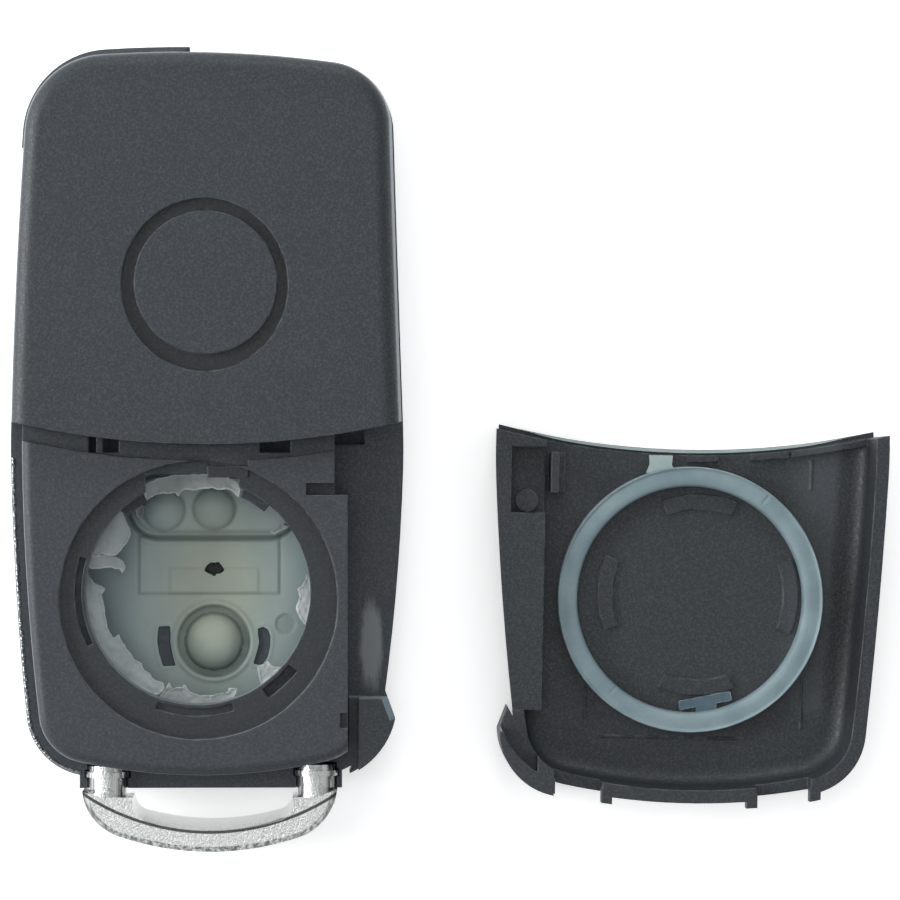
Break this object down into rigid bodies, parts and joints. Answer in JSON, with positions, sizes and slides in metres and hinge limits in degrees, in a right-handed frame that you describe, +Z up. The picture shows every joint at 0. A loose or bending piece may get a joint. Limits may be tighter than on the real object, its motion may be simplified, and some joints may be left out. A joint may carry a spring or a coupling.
{
  "type": "key fob shell",
  "caption": "Flip key fob shell seen from behind, battery cover off and lying beside it inner side up: round cell well, soft keypad, blade channel, turning blade head and cast key ring loop.",
  "frame": {"origin": "on the surface that everything lies on, under the middle of the fob and its cover side by side", "axes": "+Z up from the button side that the fob lies on to its rear side, +Y from the key ring loop to the blade end, +X from the fob to the cover"},
  "size_m": [0.0806, 0.073, 0.0156],
  "materials": {
    "shell_plastic": "fine grained charcoal plastic",
    "frame_plastic": "fine grained charcoal plastic with smooth well",
    "cap_plastic": "smooth dark plastic",
    "keypad_rubber": "translucent pale green grey soft plastic",
    "seal_rubber": "satin pale blue grey soft plastic",
    "release_metal": "bright plated",
    "spring_steel": "plain drawn steel",
    "head_metal": "cast zinc, dull",
    "loop_nickel": "nickel plated casting, rough face and polished bevels"
  },
  "bodies": {
    "fob": {"front_shell": "shell_plastic", "rear_upper_cover": "shell_plastic", "inner_frame": "frame_plastic", "keypad_membrane": "keypad_rubber", "release_trim_ring": "release_metal", "pivot_stud": "spring_steel", "head_washer": "spring_steel", "head_stop_pin": "spring_steel", "key_ring_loop": "loop_nickel", "battery_cover": "shell_plastic", "cover_seal": "seal_rubber"},
    "blade_head": {"flip_head": "head_metal"},
    "release": {"release_button": "release_metal", "release_spring": "spring_steel"},
    "upper_key": {"upper_button": "cap_plastic"},
    "middle_key": {"middle_button": "cap_plastic"},
    "lower_key": {"lower_button": "cap_plastic"}
  },
  "joints": [
    {"name": "head_turn", "type": "hinge", "parent": "fob", "child": "blade_head", "pos_m": [-0.0222, 0.0152, 0.0078], "axis": [0, 0, 1], "range_deg": [0, 180]},
    {"name": "release_press", "type": "slide", "parent": "fob", "child": "release", "axis": [0, 0, 1], "range_m": [0, 0.0009], "stiffness_N_per_m": 1500, "deforming": ["release_spring"]},
    {"name": "upper_press", "type": "slide", "parent": "fob", "child": "upper_key", "axis": [0, 0, 1], "range_m": [0, 0.0004], "stiffness_N_per_m": 1200},
    {"name": "middle_press", "type": "slide", "parent": "fob", "child": "middle_key", "axis": [0, 0, 1], "range_m": [0, 0.0004], "stiffness_N_per_m": 1200},
    {"name": "lower_press", "type": "slide", "parent": "fob", "child": "lower_key", "axis": [0, 0, 1], "range_m": [0, 0.0004], "stiffness_N_per_m": 1200}
  ]
}
